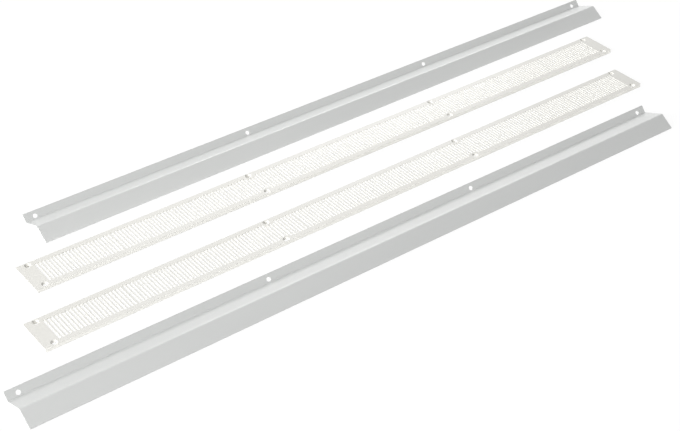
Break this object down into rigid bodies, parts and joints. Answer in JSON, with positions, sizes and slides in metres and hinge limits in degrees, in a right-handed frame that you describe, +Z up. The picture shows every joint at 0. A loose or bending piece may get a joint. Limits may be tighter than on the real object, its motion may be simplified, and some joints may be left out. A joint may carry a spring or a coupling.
{
  "type": "window trickle vent",
  "caption": "Window trickle vent set: folded light grey canopies with a drilled flange and long ivory slotted grilles with screw holes, lying loose side by side.",
  "frame": {"origin": "centre of the set's footprint, on the surface that the pieces lie on", "axes": "+X along the strips to the right of the picture, +Y away from the viewer, +Z up"},
  "size_m": [1.097, 0.3208, 0.0129],
  "materials": {
    "canopy_sheet": "satin light grey coating on folded sheet",
    "grille_plastic": "fine matt ivory moulding"
  },
  "bodies": {
    "front_grille": {"front_grille": "grille_plastic"},
    "front_canopy": {"front_canopy": "canopy_sheet"},
    "rear_grille": {"rear_grille": "grille_plastic"},
    "rear_canopy": {"rear_canopy": "canopy_sheet"}
  },
  "joints": [
    {"name": "front_canopy_lift", "type": "slide", "parent": "front_grille", "child": "front_canopy", "axis": [0, 0, 1], "range_m": [0, 0.06]},
    {"name": "rear_grille_lift", "type": "slide", "parent": "front_grille", "child": "rear_grille", "axis": [0, 0, 1], "range_m": [0, 0.06]},
    {"name": "rear_canopy_lift", "type": "slide", "parent": "front_grille", "child": "rear_canopy", "axis": [0, 0, 1], "range_m": [0, 0.06]}
  ]
}
